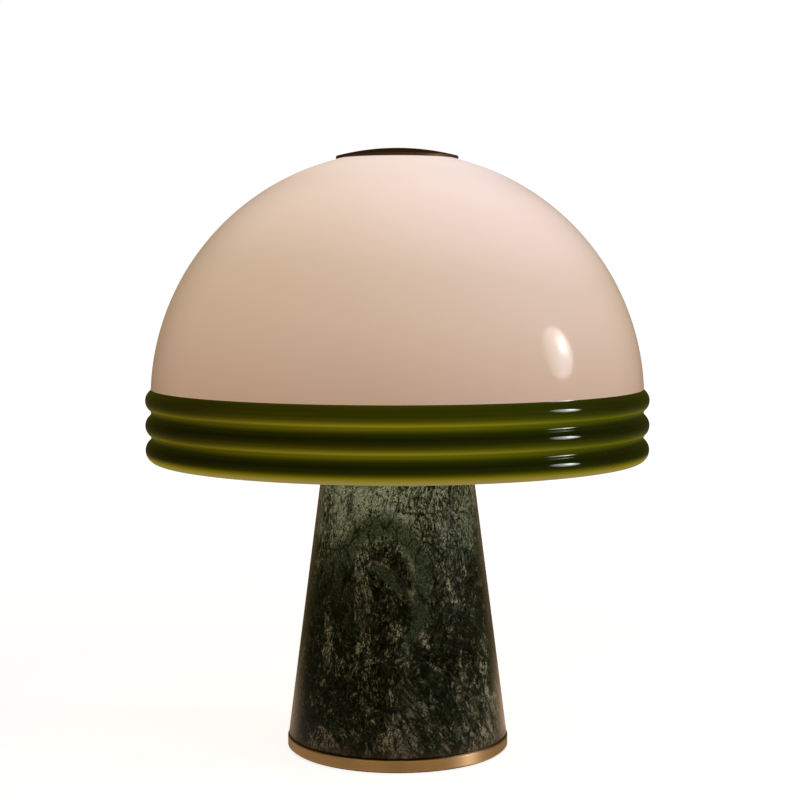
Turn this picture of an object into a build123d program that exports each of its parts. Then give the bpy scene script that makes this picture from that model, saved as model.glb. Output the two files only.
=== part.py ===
from build123d import *
from math import asin, atan, cos, radians, sin, sqrt, tan
import os

# Mushroom table lamp: brass foot, stone cone, stem with two bulbs, and a glass shade under a bronze cap.
# One threaded tube runs from the foot to the cap and holds the stack together.
# Millimetres. The origin is on the table under the middle of the foot. +Z is up, the cord inlet faces +Y.

# Foot, with a recess under it for the rod's lower nut
felt_thickness = 1.2
felt_inset = 2.0
foot_overhang = 0.8
foot_web = 2.2
foot_edge = 0.6
spacer_thickness = 1.3
spacer_inset = 3.5

# Stone cone, with a pocket for the wiring in its underside
cone_bottom_radius = 87.9
cone_top_radius = 56.9
cone_height = 241.0
cone_edge = 0.8
pocket_radius = 30.0
pocket_room = 6.0

# Threaded tube and what is screwed on it
rod_wall = 1.5
rod_end_drop = 0.6
thread_clearance = 0.05
sliding_clearance = 0.3
nut_flats = 17.0
nut_height = 4.5
seat_nut_height = 3.0
washer_radius = 11.0
washer_thickness = 1.2
recess_clearance = 4.0

# Cord inlet in the back of the stone, and the terminals in the pocket
gland_height = 16.0
gland_radius = 6.0
gland_bore_radius = 3.6
gland_length = 24.0
gland_flange_radius = 8.5
gland_flange_thickness = 2.0
gland_sink = 2.2
terminal_width = 20.0
terminal_depth = 12.0
terminal_height = 14.0
terminal_clearance = 2.0
terminal_screw_radius = 1.6
terminal_screw_length = 4.0
terminal_screw_height = 4.5
terminal_spacing = 6.5

# Leads inside the stem
lead_radius = 1.1
lead_gap = 0.4
lead_room = 1.1
lead_bend = 8.0
lead_rise = 10.0
lead_grip = 4.0

# Stem between the stone and the shade
top_plate_inset = 16.9
top_plate_thickness = 3.0
sleeve_wall = 2.7
lower_sleeve_length = 12.0
upper_sleeve_length = 157.5
hub_radius = 18.0
hub_edge = 2.0
hub_land = 1.5
hub_web = 0.4

# Arms and lampholders, along the axis of each bulb from the middle of the hub
bulb_tilt = 45.0
arm_bore_radius = 3.5
arm_wall = 1.5
arm_length = 27.0
holder_neck_wall = 3.0
holder_neck_length = 8.0
holder_back_depth = 10.0
holder_wall = 2.0
holder_lip = 7.0
insulator_wall = 3.0
insulator_floor = 7.0
screw_shell_wall = 0.5
screw_shell_length = 20.0
contact_radius = 4.0
contact_height = 2.2
fit_clearance = 0.1

# Bulbs
bulb_base_radius = 13.2
bulb_base_length = 19.0
bulb_base_taper = 3.0
bulb_wall = 1.0
bulb_tip_radius = 4.6
bulb_tip_height = 2.0
bulb_radius = 27.5
bulb_neck_length = 4.0
bulb_neck_curve = 30.0
bulb_play = 0.25

# Shade: a dome on a ribbed band, hung from the seat at the top of the stem
dome_radius = 195.5
dome_wall = 4.0
dome_edge_rise = 9.1
dome_flare = 0.8
dome_hole_radius = 18.0
rib_count = 3
rib_pitch = 19.5
rib_depth = 4.5
rim_cut = 1.7
groove_round = 3.5
rim_round = 2.5
collar_height = 8.0
collar_wall = 2.5
seat_radius = 42.0
seat_thickness = 3.0
seat_edge = 1.0
gasket_inset = 1.0
gasket_thickness = 2.0
gasket_lip = 1.5
gasket_lip_drop = 1.0
shade_gap = 0.3

# Cap
cap_radius = 48.5
cap_edge_height = 2.2
cap_thickness = 1.5
cap_edge_round = 0.7
cap_lip = 2.0
cap_washer_inset = 8.5
cap_washer_width = 10.0
cap_washer_thickness = 0.8
bush_radius = 9.0
bush_engagement = 5.0
bush_room = 1.0

# Radii round the leads, the rod and the arms, from the inside out
lead_offset = lead_radius + lead_gap / 2
rod_bore_radius = lead_offset + lead_radius + lead_room
rod_radius = rod_bore_radius + rod_wall
tapped_radius = rod_radius + thread_clearance
bored_radius = rod_radius + sliding_clearance
sleeve_radius = bored_radius + sleeve_wall
recess_radius = washer_radius + recess_clearance
foot_radius = cone_bottom_radius + foot_overhang
arm_radius = arm_bore_radius + arm_wall
screw_shell_radius = bulb_base_radius + bulb_play + screw_shell_wall
insulator_radius = screw_shell_radius + fit_clearance + insulator_wall
holder_radius = insulator_radius + fit_clearance + holder_wall

# The terminal block stands against the wall of the pocket, and the leads slope from it into the rod
terminal_face = sqrt((pocket_radius - terminal_clearance) ** 2 - (terminal_width / 2) ** 2)
terminal_offset = terminal_face - terminal_depth / 2
pocket_height = terminal_height - spacer_thickness + lead_rise + terminal_offset + pocket_room

# The hub is as tall as the arms need to clear the sleeve above it
tilt = radians(bulb_tilt)
hub_half = (sleeve_radius + hub_land) / tan(tilt) + arm_radius / sin(tilt)

# Heights of the stack, from the table up
z_foot = felt_thickness
z_rod = z_foot + rod_end_drop
z_recess = z_rod + nut_height + washer_thickness
z_spacer = z_recess + foot_web
z_cone = z_spacer + spacer_thickness
z_gland = z_cone + gland_height
z_terminal_top = z_spacer + terminal_height
z_lead_bend = z_terminal_top + lead_rise + terminal_offset
z_cone_top = z_cone + cone_height
z_clamp_nut = z_cone_top + top_plate_thickness
z_lower_sleeve = z_clamp_nut + nut_height
z_hub = z_lower_sleeve + lower_sleeve_length + hub_half
z_upper_sleeve = z_hub + hub_half
z_seat = z_upper_sleeve + upper_sleeve_length
z_seat_top = z_seat + seat_thickness

# Places along each bulb's axis, from the middle of the hub
arm_start = (bored_radius + hub_web + arm_radius * cos(tilt)) / sin(tilt)
arm_end = arm_start + arm_length
holder_start = arm_end + holder_back_depth
contact_place = holder_start + insulator_floor
holder_end = contact_place + screw_shell_length + holder_lip
tip_place = contact_place + contact_height + fit_clearance
base_place = tip_place + bulb_tip_height
glass_place = base_place + bulb_base_taper + bulb_base_length

# The dome hangs on the seat gasket, so its middle follows the gasket's outer edge
dome_inner_radius = dome_radius - dome_wall
gasket_radius = seat_radius - gasket_inset
gasket_sphere = dome_inner_radius - shade_gap
z_dome = z_seat_top + gasket_thickness - sqrt(gasket_sphere**2 - gasket_radius**2)
z_notch = z_dome + dome_edge_rise
collar_radius = sqrt(dome_inner_radius**2 - (dome_edge_rise + collar_height) ** 2) - sliding_clearance
band_inner_radius = collar_radius - collar_wall

# The dome's edge flares into the first groove, and arcs that are tangent to each other make ribs and grooves
z_groove = z_notch + dome_flare
z_rim = z_groove - rib_count * rib_pitch + rim_cut
groove_radius = sqrt(dome_radius**2 - (dome_edge_rise + dome_flare) ** 2)
rib_crest = groove_radius + rib_depth
flank = 2 * atan(2 * rib_depth / rib_pitch)
rib_round = rib_pitch / 2 / sin(flank) - groove_round
flare = asin(dome_flare / groove_round)

# The cap follows the dome, with the washer between them, and the rod reaches into its bush
washer_sphere = dome_radius + shade_gap
cap_sphere = washer_sphere + cap_washer_thickness + shade_gap
z_bush_top = z_dome + sqrt(cap_sphere**2 - bush_radius**2)
z_bush = z_bush_top - bush_room - bush_engagement
z_rod_top = z_bush + bush_engagement

SIDES = {"left": -1, "right": 1}


def turned(outline):
    """A solid turned about Z from a closed outline of edges in (distance from the axis, height)."""
    return revolve(Plane.XZ * make_face(outline), Axis.Z)


def ring(inner, outer, bottom, top):
    """A plain turned ring."""
    return turned(Polyline((inner, bottom), (outer, bottom), (outer, top), (inner, top), close=True))


def disc(radius, bottom, top):
    """A plain turned disc."""
    return turned(Polyline((0, bottom), (radius, bottom), (radius, top), (0, top), close=True))


def on_sphere(radius, distance):
    """Height of a sphere about the dome's centre, at a distance from the axis."""
    return z_dome + sqrt(radius**2 - distance**2)


def sphere_arc(radius, start, end):
    """Arc of such a sphere between two distances from the axis."""
    middle = radius * sin((asin(start / radius) + asin(end / radius)) / 2)
    return ThreePointArc(
        (start, on_sphere(radius, start)),
        (middle, on_sphere(radius, middle)),
        (end, on_sphere(radius, end)),
    )


def on_arm(side, shape):
    """Tilt a shape that stands on Z over to one side, about the middle of the hub."""
    return Pos(0, 0, z_hub) * Rot(0, side * bulb_tilt, 0) * shape


def hex_nut(bottom, height):
    """Flat hexagon nut for the rod."""
    blank = extrude(RegularPolygon(nut_flats / 2, 6, major_radius=False), height)
    return Pos(0, 0, bottom) * blank - disc(tapped_radius, bottom, bottom + height)


def cone_radius(height):
    """Radius of the stone at a height above its underside."""
    return cone_bottom_radius + (cone_top_radius - cone_bottom_radius) * height / cone_height


def rear_cylinder(radius, start, end):
    """Cylinder along the cord inlet's axis, between two distances behind the lamp's middle."""
    bar = extrude(Circle(radius), end - start)
    return Pos(0, start, z_gland) * Rot(-90, 0, 0) * bar


def foot_pad():
    return ring(recess_radius + felt_inset, foot_radius - felt_inset, 0, z_foot)


def foot_plate():
    edge = foot_radius - foot_edge
    outline = Polyline(
        (recess_radius, z_foot),
        (edge, z_foot),
        (foot_radius, z_foot + foot_edge),
        (foot_radius, z_spacer - foot_edge),
        (edge, z_spacer),
        (bored_radius, z_spacer),
        (bored_radius, z_recess),
        (recess_radius, z_recess),
        close=True,
    )
    return turned(outline)


def lower_washer():
    return ring(bored_radius, washer_radius, z_recess - washer_thickness, z_recess)


def lower_nut():
    return hex_nut(z_rod, nut_height)


def spacer_ring():
    return ring(pocket_radius, cone_bottom_radius - spacer_inset, z_spacer, z_cone)


def stone_cone():
    outline = Polyline(
        (pocket_radius, z_cone),
        (cone_bottom_radius - cone_edge, z_cone),
        (cone_radius(cone_edge), z_cone + cone_edge),
        (cone_radius(cone_height - cone_edge), z_cone_top - cone_edge),
        (cone_top_radius - cone_edge, z_cone_top),
        (bored_radius, z_cone_top),
        (bored_radius, z_cone + pocket_height),
        (pocket_radius, z_cone + pocket_height),
        close=True,
    )
    inlet = rear_cylinder(gland_radius + fit_clearance, 0, cone_bottom_radius)
    seat = rear_cylinder(gland_flange_radius + sliding_clearance, gland_seat(), cone_bottom_radius)
    return turned(outline) - inlet - seat


def gland_seat():
    """Distance of the gland's flat seat behind the lamp's middle."""
    return cone_radius(gland_height) - gland_sink


def cord_gland():
    face = gland_seat() + gland_flange_thickness
    body = rear_cylinder(gland_radius, face - gland_length, face)
    flange = rear_cylinder(gland_flange_radius, gland_seat(), face)
    return body + flange - rear_cylinder(gland_bore_radius, face - gland_length, face)


def terminal_poles():
    """Places of the two poles of the terminal block, across the lamp."""
    return [side * terminal_spacing / 2 for side in SIDES.values()]


def terminal_block():
    middle = z_spacer + terminal_height / 2
    block = Pos(0, terminal_offset, middle) * Box(terminal_width, terminal_depth, terminal_height)
    for x in terminal_poles():
        hole = Cylinder(lead_radius + fit_clearance, lead_grip)
        block -= Pos(x, terminal_offset, z_terminal_top - lead_grip / 2) * hole
        block -= terminal_screw(x, terminal_screw_radius + thread_clearance)
    return block


def terminal_screw(x, radius):
    """One terminal screw, flush in the rear face of the block."""
    start = terminal_face - terminal_screw_length
    bar = extrude(Circle(radius), terminal_screw_length)
    return Pos(x, start, z_spacer + terminal_screw_height) * Rot(-90, 0, 0) * bar


def terminal_screws():
    return Compound(children=[terminal_screw(x, terminal_screw_radius) for x in terminal_poles()])


def tie_rod():
    """The threaded tube, with a window at the back for both leads and one across at the hub."""
    rod = ring(rod_bore_radius, rod_radius, z_rod, z_rod_top)
    height = 3 * rod_radius
    rear = Box(2 * rod_bore_radius, 2 * rod_radius, height)
    across = Box(3 * rod_radius, 2 * (lead_radius + lead_room), height)
    rod -= Pos(0, rod_radius, z_lead_bend - rod_radius) * rear
    return rod - Pos(0, 0, z_hub + rod_radius / 2) * across


def lead(side):
    """One lead: from the terminal block into the rod, up the rod and out along the arm."""
    pole = side * terminal_spacing / 2
    inside = side * lead_offset
    stops = [
        (pole, terminal_offset, z_terminal_top - lead_grip),
        (pole, terminal_offset, z_terminal_top + lead_rise),
        (inside, 0, z_lead_bend),
        (inside, 0, z_hub + lead_offset / tan(tilt)),
        (side * holder_start * sin(tilt), 0, z_hub + holder_start * cos(tilt)),
    ]
    path = FilletPolyline(*stops, radius=lead_bend)
    section = Plane(origin=path @ 0, z_dir=path % 0) * Circle(lead_radius)
    return sweep(section, path)


def top_plate():
    return ring(bored_radius, cone_top_radius - top_plate_inset, z_cone_top, z_clamp_nut)


def clamp_nut():
    return hex_nut(z_clamp_nut, nut_height)


def lower_sleeve():
    return ring(bored_radius, sleeve_radius, z_lower_sleeve, z_hub - hub_half)


def upper_sleeve():
    return ring(bored_radius, sleeve_radius, z_upper_sleeve, z_seat)


def cluster_hub():
    hub = Pos(0, 0, z_hub) * Cylinder(hub_radius, 2 * hub_half)
    hub = chamfer(hub.edges().filter_by(GeomType.CIRCLE), hub_edge)
    hub -= Pos(0, 0, z_hub) * Cylinder(bored_radius, 2 * hub_half)
    for side in SIDES.values():
        hub -= on_arm(side, disc(arm_radius + thread_clearance, arm_start, arm_end))
        hub -= on_arm(side, disc(arm_bore_radius, 0, arm_start))
    return hub


def arm(side):
    return on_arm(side, ring(arm_bore_radius, arm_radius, arm_start, arm_end))


def holder_back(side):
    """Conical back of a lampholder, screwed on the arm, with a ledge for the insulator."""
    bore = arm_radius + thread_clearance
    neck = bore + holder_neck_wall
    ledge = insulator_radius - holder_wall
    outline = Polyline(
        (bore, arm_end - holder_neck_length),
        (neck, arm_end - holder_neck_length),
        (neck, arm_end),
        (holder_radius, holder_start),
        (ledge, holder_start),
        (bore, arm_end + holder_wall),
        close=True,
    )
    return on_arm(side, turned(outline))


def holder_shell(side):
    inner = holder_radius - holder_wall
    return on_arm(side, ring(inner, holder_radius, holder_start, holder_end))


def holder_insulator(side):
    """Cup that carries the screw shell and the centre contact."""
    bore = screw_shell_radius + fit_clearance
    top = contact_place + screw_shell_length
    outline = Polyline(
        (0, holder_start),
        (insulator_radius, holder_start),
        (insulator_radius, top),
        (bore, top),
        (bore, contact_place),
        (0, contact_place),
        close=True,
    )
    return on_arm(side, turned(outline))


def screw_shell(side):
    inner = screw_shell_radius - screw_shell_wall
    top = contact_place + screw_shell_length
    return on_arm(side, ring(inner, screw_shell_radius, contact_place, top))


def centre_contact(side):
    return on_arm(side, disc(contact_radius, contact_place, contact_place + contact_height))


def bulb_tip(side):
    return on_arm(side, disc(bulb_tip_radius, tip_place, base_place))


def bulb_base(side):
    """Screw base of a bulb: a cup that tapers to the tip."""
    shoulder = base_place + bulb_base_taper
    inner = bulb_base_radius - bulb_wall
    outline = Polyline(
        (0, base_place),
        (bulb_tip_radius, base_place),
        (bulb_base_radius, shoulder),
        (bulb_base_radius, glass_place),
        (inner, glass_place),
        (inner, shoulder + bulb_wall),
        (0, shoulder + bulb_wall),
        close=True,
    )
    return on_arm(side, turned(outline))


def bulb_outline(inset):
    """Half outline of the bulb from neck to top, drawn in by a wall: neck, neck curve and globe."""
    neck = bulb_base_radius - inset
    curve = bulb_neck_curve + inset
    globe = bulb_radius - inset
    bend = glass_place + bulb_neck_length
    rise = sqrt((curve + globe) ** 2 - (neck + curve) ** 2)
    middle = bend + rise
    share = curve / (curve + globe)
    join = ((neck + curve) * (1 - share), bend + rise * share)
    straight = Line((neck, glass_place), (neck, bend))
    flare = TangentArc((neck, bend), join, tangent=(0, 1))
    bowl = TangentArc(join, (0, middle + globe), tangent=flare % 1)
    return [straight, flare, bowl]


def bulb_glass(side):
    outer = bulb_outline(0)
    inner = bulb_outline(bulb_wall)
    closing = [Line(outer[0] @ 0, inner[0] @ 0), Line(outer[2] @ 1, inner[2] @ 1)]
    return on_arm(side, turned(outer + inner + closing))


def shade_seat():
    edge = seat_radius - seat_edge
    outline = Polyline(
        (bored_radius, z_seat),
        (edge, z_seat),
        (seat_radius, z_seat + seat_edge),
        (seat_radius, z_seat_top),
        (bored_radius, z_seat_top),
        close=True,
    )
    return turned(outline)


def seat_nut():
    return hex_nut(z_seat_top, seat_nut_height)


def seat_gasket():
    """Soft ring on the seat. Its top follows the inside of the dome, its lip stands in the hole."""
    lip_outer = dome_hole_radius - sliding_clearance
    lip_inner = lip_outer - gasket_lip
    lip_top = on_sphere(dome_radius, dome_hole_radius) - gasket_lip_drop
    bed = sphere_arc(gasket_sphere, lip_outer, gasket_radius)
    sides = Polyline(
        bed @ 1,
        (gasket_radius, z_seat_top),
        (lip_inner, z_seat_top),
        (lip_inner, lip_top),
        (lip_outer, lip_top),
        bed @ 0,
    )
    return turned([bed, sides])


def groove_arc(number, start, end):
    """Part of a groove, between two angles below the level of its bottom."""
    height = z_groove - number * rib_pitch
    angles = [start, (start + end) / 2, end]
    points = [(groove_radius + groove_round * (1 - cos(a)), height - groove_round * sin(a)) for a in angles]
    return ThreePointArc(*points)


def opal_dome():
    edge_inner = sqrt(dome_inner_radius**2 - dome_edge_rise**2)
    outer = sphere_arc(dome_radius, dome_hole_radius, groove_radius)
    edge = groove_arc(0, 0, flare)
    inner = sphere_arc(dome_inner_radius, dome_hole_radius, edge_inner)
    return turned([outer, edge, Line(edge @ 1, inner @ 1), inner, Line(inner @ 0, outer @ 0)])


def ribs():
    """Outer edge of the band from the colour line down: grooves and ribs, the last rib cut off at the rim."""
    grooves = [groove_arc(0, flare, flank)]
    grooves += [groove_arc(number, -flank, flank) for number in range(1, rib_count)]
    middles = [z_groove - (number + 0.5) * rib_pitch for number in range(rib_count)]
    rim_edge = rib_crest - rib_round + sqrt(rib_round**2 - (middles[-1] - z_rim) ** 2)
    ends = [groove @ 0 for groove in grooves[1:]] + [Vector(rim_edge, z_rim)]
    arcs = []
    for groove, middle, end in zip(grooves, middles, ends):
        arcs += [groove, ThreePointArc(groove @ 1, (rib_crest, middle), end)]
    return arcs


def ribbed_band():
    """Ribbed ring under the dome. Its collar stands inside the dome's edge."""
    collar_top = z_notch + collar_height
    arcs = ribs()
    inside = Polyline(
        arcs[-1] @ 1,
        (band_inner_radius, z_rim),
        (band_inner_radius, collar_top),
        (collar_radius, collar_top),
        (collar_radius, z_notch),
        arcs[0] @ 0,
    )
    band = turned(arcs + [inside])
    return fillet(circles_at(band, [z_rim]), rim_round)


def circles_at(solid, heights):
    """The round edges of a turned solid at these heights."""
    circles = solid.edges().filter_by(GeomType.CIRCLE)
    return [edge for edge in circles if any(abs(edge.center().Z - height) < 1e-3 for height in heights)]


def cap_washer():
    outer = cap_radius - cap_washer_inset
    inner = outer - cap_washer_width
    under = sphere_arc(washer_sphere, inner, outer)
    over = sphere_arc(washer_sphere + cap_washer_thickness, inner, outer)
    return turned([under, over, Line(under @ 0, over @ 0), Line(under @ 1, over @ 1)])


def top_cap():
    """Crowned disc, hollowed for the washer, with a flat for the bush and a lip down to the dome."""
    lip_inner = cap_radius - cap_lip
    under = sphere_arc(cap_sphere, bush_radius, lip_inner)
    lip = sphere_arc(washer_sphere, lip_inner, cap_radius)
    edge_top = on_sphere(washer_sphere, cap_radius) + cap_edge_height
    crown_top = z_bush_top + cap_thickness
    rise = crown_top - edge_top
    curve = (cap_radius**2 + rise**2) / (2 * rise)
    half = asin(cap_radius / curve) / 2
    crown = ThreePointArc(
        (0, crown_top),
        (curve * sin(half), crown_top - curve * (1 - cos(half))),
        (cap_radius, edge_top),
    )
    flat = Polyline((0, crown_top), (0, z_bush_top), under @ 0)
    step = Line(under @ 1, lip @ 0)
    edge = Line(lip @ 1, crown @ 1)
    cap = turned([under, step, lip, edge, crown, flat])
    return fillet(circles_at(cap, [edge_top]), cap_edge_round)


def cap_bush():
    return ring(tapped_radius, bush_radius, z_bush, z_bush_top)


nodes = {
    "foot_pad": foot_pad(),
    "foot_plate": foot_plate(),
    "lower_washer": lower_washer(),
    "lower_nut": lower_nut(),
    "spacer_ring": spacer_ring(),
    "stone_cone": stone_cone(),
    "cord_gland": cord_gland(),
    "terminal_block": terminal_block(),
    "terminal_screws": terminal_screws(),
    "tie_rod": tie_rod(),
    "top_plate": top_plate(),
    "clamp_nut": clamp_nut(),
    "lower_sleeve": lower_sleeve(),
    "cluster_hub": cluster_hub(),
    "upper_sleeve": upper_sleeve(),
    "shade_seat": shade_seat(),
    "seat_nut": seat_nut(),
    "seat_gasket": seat_gasket(),
    "opal_dome": opal_dome(),
    "ribbed_band": ribbed_band(),
    "cap_washer": cap_washer(),
    "top_cap": top_cap(),
    "cap_bush": cap_bush(),
}
for name, side in SIDES.items():
    nodes[f"arm_{name}"] = arm(side)
    nodes[f"lead_{name}"] = lead(side)
    nodes[f"holder_back_{name}"] = holder_back(side)
    nodes[f"holder_shell_{name}"] = holder_shell(side)
    nodes[f"holder_insulator_{name}"] = holder_insulator(side)
    nodes[f"screw_shell_{name}"] = screw_shell(side)
    nodes[f"centre_contact_{name}"] = centre_contact(side)
    nodes[f"bulb_tip_{name}"] = bulb_tip(side)
    nodes[f"bulb_base_{name}"] = bulb_base(side)
    nodes[f"bulb_glass_{name}"] = bulb_glass(side)

os.makedirs("parts", exist_ok=True)
for name, shape in nodes.items():
    export_step(shape, f"parts/{name}.step")

print(f"overall height {z_bush_top + cap_thickness:.2f}, widest {2 * rib_crest:.2f}")
print(f"rim {z_rim:.2f}, colour line {z_notch:.2f}, middle of the dome {z_dome:.2f}, hub {z_hub:.2f}")
print(f"gland seat {gland_seat():.3f} at height {z_gland:.2f}, rod top {z_rod_top:.2f}")
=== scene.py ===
from math import acos, asin, atan, cos, degrees, pi, radians, sin, sqrt

import bpy
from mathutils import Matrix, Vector


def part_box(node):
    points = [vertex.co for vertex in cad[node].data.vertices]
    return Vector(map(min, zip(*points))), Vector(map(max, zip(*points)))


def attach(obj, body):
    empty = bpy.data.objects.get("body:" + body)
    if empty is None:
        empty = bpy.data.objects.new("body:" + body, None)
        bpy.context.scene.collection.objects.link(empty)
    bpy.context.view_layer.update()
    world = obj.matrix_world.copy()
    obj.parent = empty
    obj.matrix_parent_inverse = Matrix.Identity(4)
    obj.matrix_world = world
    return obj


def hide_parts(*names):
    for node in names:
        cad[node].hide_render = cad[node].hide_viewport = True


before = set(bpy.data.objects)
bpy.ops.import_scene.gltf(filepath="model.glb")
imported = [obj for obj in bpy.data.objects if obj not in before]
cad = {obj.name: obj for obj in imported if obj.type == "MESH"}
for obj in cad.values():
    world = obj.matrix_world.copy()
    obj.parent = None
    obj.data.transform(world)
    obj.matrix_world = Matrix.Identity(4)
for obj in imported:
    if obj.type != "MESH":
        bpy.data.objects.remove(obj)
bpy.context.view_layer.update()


# Felt pad: a ring of pressed black wool felt, glued under the foot so that the brass can't scratch a table.
# It is stamped from a sheet, so its cut edges are a little rounded and its face is fibrous.

MM = 0.001
weld_gap = 0.005 * MM
crease_angle = radians(40)


def draw(name, line):
    """A line through (radius, height) points, left selected in edit mode."""
    bpy.ops.object.select_all(action="DESELECT")
    bpy.ops.mesh.primitive_plane_add(size=MM)
    piece = bpy.context.object
    piece.name = name
    bpy.ops.object.mode_set(mode="EDIT")
    bpy.ops.mesh.select_all(action="SELECT")
    bpy.ops.mesh.merge(type="CENTER")
    at = (0.0, 0.0)
    for number, point in enumerate(line):
        step = (point[0] - at[0], 0, point[1] - at[1])
        if number == 0:
            bpy.ops.transform.translate(value=step)
        else:
            bpy.ops.mesh.extrude_vertices_move(TRANSFORM_OT_translate={"value": step})
        at = point
    bpy.ops.mesh.select_all(action="SELECT")
    return piece


def weld():
    """Merge the points of the piece in edit mode that lie in one place."""
    bpy.ops.mesh.select_all(action="SELECT")
    bpy.ops.mesh.remove_doubles(threshold=weld_gap)


def face_outwards():
    """Turn all faces of the piece outwards, leave edit mode, and shade it smooth between its creases."""
    bpy.ops.mesh.select_all(action="SELECT")
    bpy.ops.mesh.normals_make_consistent(inside=False)
    bpy.ops.object.mode_set(mode="OBJECT")
    bpy.ops.object.shade_smooth_by_angle(angle=crease_angle)


def turn(name, outline, steps):
    """Turn a closed outline of (radius, height) points about the lamp's axis, as on a lathe."""
    piece = draw(name, list(outline) + [outline[0]])
    bpy.ops.mesh.spin(steps=steps, angle=2 * pi, center=(0, 0, 0), axis=(0, 0, 1))
    weld()
    face_outwards()
    return piece


def nearest(name):
    """The smallest distance from the lamp's axis in a CAD node, such as the radius of its bore."""
    return min(Vector(point.co[:2]).length for point in cad[name].data.vertices)


def arc(middle, radius, start, end, count):
    """Points along a round stretch of an outline, at angles measured from straight out, upwards."""
    angles = [start + (end - start) * number / count for number in range(count + 1)]
    return [(middle[0] + radius * cos(radians(a)), middle[1] + radius * sin(radians(a))) for a in angles]


def node(tree, kind, inputs=None, **settings):
    """Add a node, set its options, then link or fill its inputs."""
    made = tree.nodes.new(kind)
    for key, value in settings.items():
        setattr(made, key, value)
    for key, value in (inputs or {}).items():
        if isinstance(value, bpy.types.NodeSocket):
            tree.links.new(value, made.inputs[key])
        else:
            made.inputs[key].default_value = value
    return made


def finish(name, **sockets):
    """A new material: its node tree, its shader, and the place on the piece that its patterns follow."""
    made = bpy.data.materials.new(name)
    made.use_nodes = True
    tree = made.node_tree
    shader = tree.nodes["Principled BSDF"]
    for key, value in sockets.items():
        shader.inputs[key.replace("_", " ")].default_value = value
    place = node(tree, "ShaderNodeTexCoord").outputs["Object"]
    return made, tree, shader, place


def noise(tree, place, scale, detail=3.0, roughness=0.5, distortion=0.0):
    """Soft cloudy pattern, 0 to 1."""
    inputs = {"Vector": place, "Scale": scale, "Detail": detail}
    inputs |= {"Roughness": roughness, "Distortion": distortion}
    return node(tree, "ShaderNodeTexNoise", inputs).outputs["Fac"]


def mask(tree, value, low, high):
    """A value as a mask: 0 below low, 1 above high."""
    inputs = {"Value": value, "From Min": low, "From Max": high}
    return node(tree, "ShaderNodeMapRange", inputs, interpolation_type="SMOOTHSTEP").outputs["Result"]


def blend(tree, share, first, second):
    """Mix two colours, which are the node's inputs 6 and 7 and its output 2."""
    made = node(tree, "ShaderNodeMix", {0: share}, data_type="RGBA")
    for socket, value in ((made.inputs[6], first), (made.inputs[7], second)):
        if isinstance(value, bpy.types.NodeSocket):
            tree.links.new(value, socket)
        else:
            socket.default_value = (*value, 1)
    return made.outputs[2]


def rough_surface(tree, shader, height, depth):
    """Give a surface relief of a real depth in metres."""
    bump = node(tree, "ShaderNodeBump", {"Height": height, "Distance": depth, "Strength": 1.0})
    tree.links.new(bump.outputs["Normal"], shader.inputs["Normal"])


def feed(tree, shader, **values):
    """Link patterns to the shader's sockets."""
    for key, value in values.items():
        tree.links.new(value, shader.inputs[key.replace("_", " ")])


def wear(piece, material):
    """Give a modelled piece its next finish."""
    piece.data.materials.append(material)


black_wool = (0.012, 0.012, 0.012)
grey_wool = (0.03, 0.029, 0.027)
loose_fibre = (0.06, 0.058, 0.054)
fibre_depth = 0.4 * MM
felt, tree, shader, place = finish("black_felt", Roughness=0.95, Sheen_Weight=0.4)
fibres = noise(tree, place, 1500, 5, 0.7)
wool = blend(tree, noise(tree, place, 160), black_wool, grey_wool)
feed(tree, shader, Base_Color=blend(tree, mask(tree, fibres, 0.5, 0.75), wool, loose_fibre))
rough_surface(tree, shader, fibres, fibre_depth)

felt_low, felt_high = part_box("foot_pad")
felt_outer = felt_high.x
felt_inner = nearest("foot_pad")
felt_round = 0.35 * MM
felt_outline = [(felt_inner, felt_low.z)]
felt_outline += arc((felt_outer - felt_round, felt_low.z + felt_round), felt_round, -90, 0, 4)
felt_outline += arc((felt_outer - felt_round, felt_high.z - felt_round), felt_round, 0, 90, 4)
felt_outline += [(felt_inner, felt_high.z)]
pad = turn("felt_pad", felt_outline, steps=120)
wear(pad, felt)
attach(pad, "frame")
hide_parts("foot_pad")


# Foot plate and the brass of the stem: solid brass, turned on a lathe and brushed to a satin sheen.
# The tool leaves fine rings around the axis, and years of hands leave faint darker smudges.
# The foot's upper edge is broken with a small chamfer, which is painted bright as a highlight.


def paint(material, *names):
    """Give CAD nodes this finish in place of their plain colour."""
    for name in names:
        cad[name].data.materials.clear()
        cad[name].data.materials.append(material)


def maths(tree, operation, first, second=0.0, third=0.0):
    """One sum on values that change over the surface."""
    return node(tree, "ShaderNodeMath", {0: first, 1: second, 2: third}, operation=operation).outputs["Value"]


def from_axis(tree, place):
    """Distance from the lamp's axis, and height."""
    apart = node(tree, "ShaderNodeSeparateXYZ", {0: place})
    flat = node(tree, "ShaderNodeCombineXYZ", {0: apart.outputs["X"], 1: apart.outputs["Y"]})
    length = node(tree, "ShaderNodeVectorMath", {0: flat.outputs[0]}, operation="LENGTH")
    return length.outputs["Value"], apart.outputs["Z"]


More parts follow.
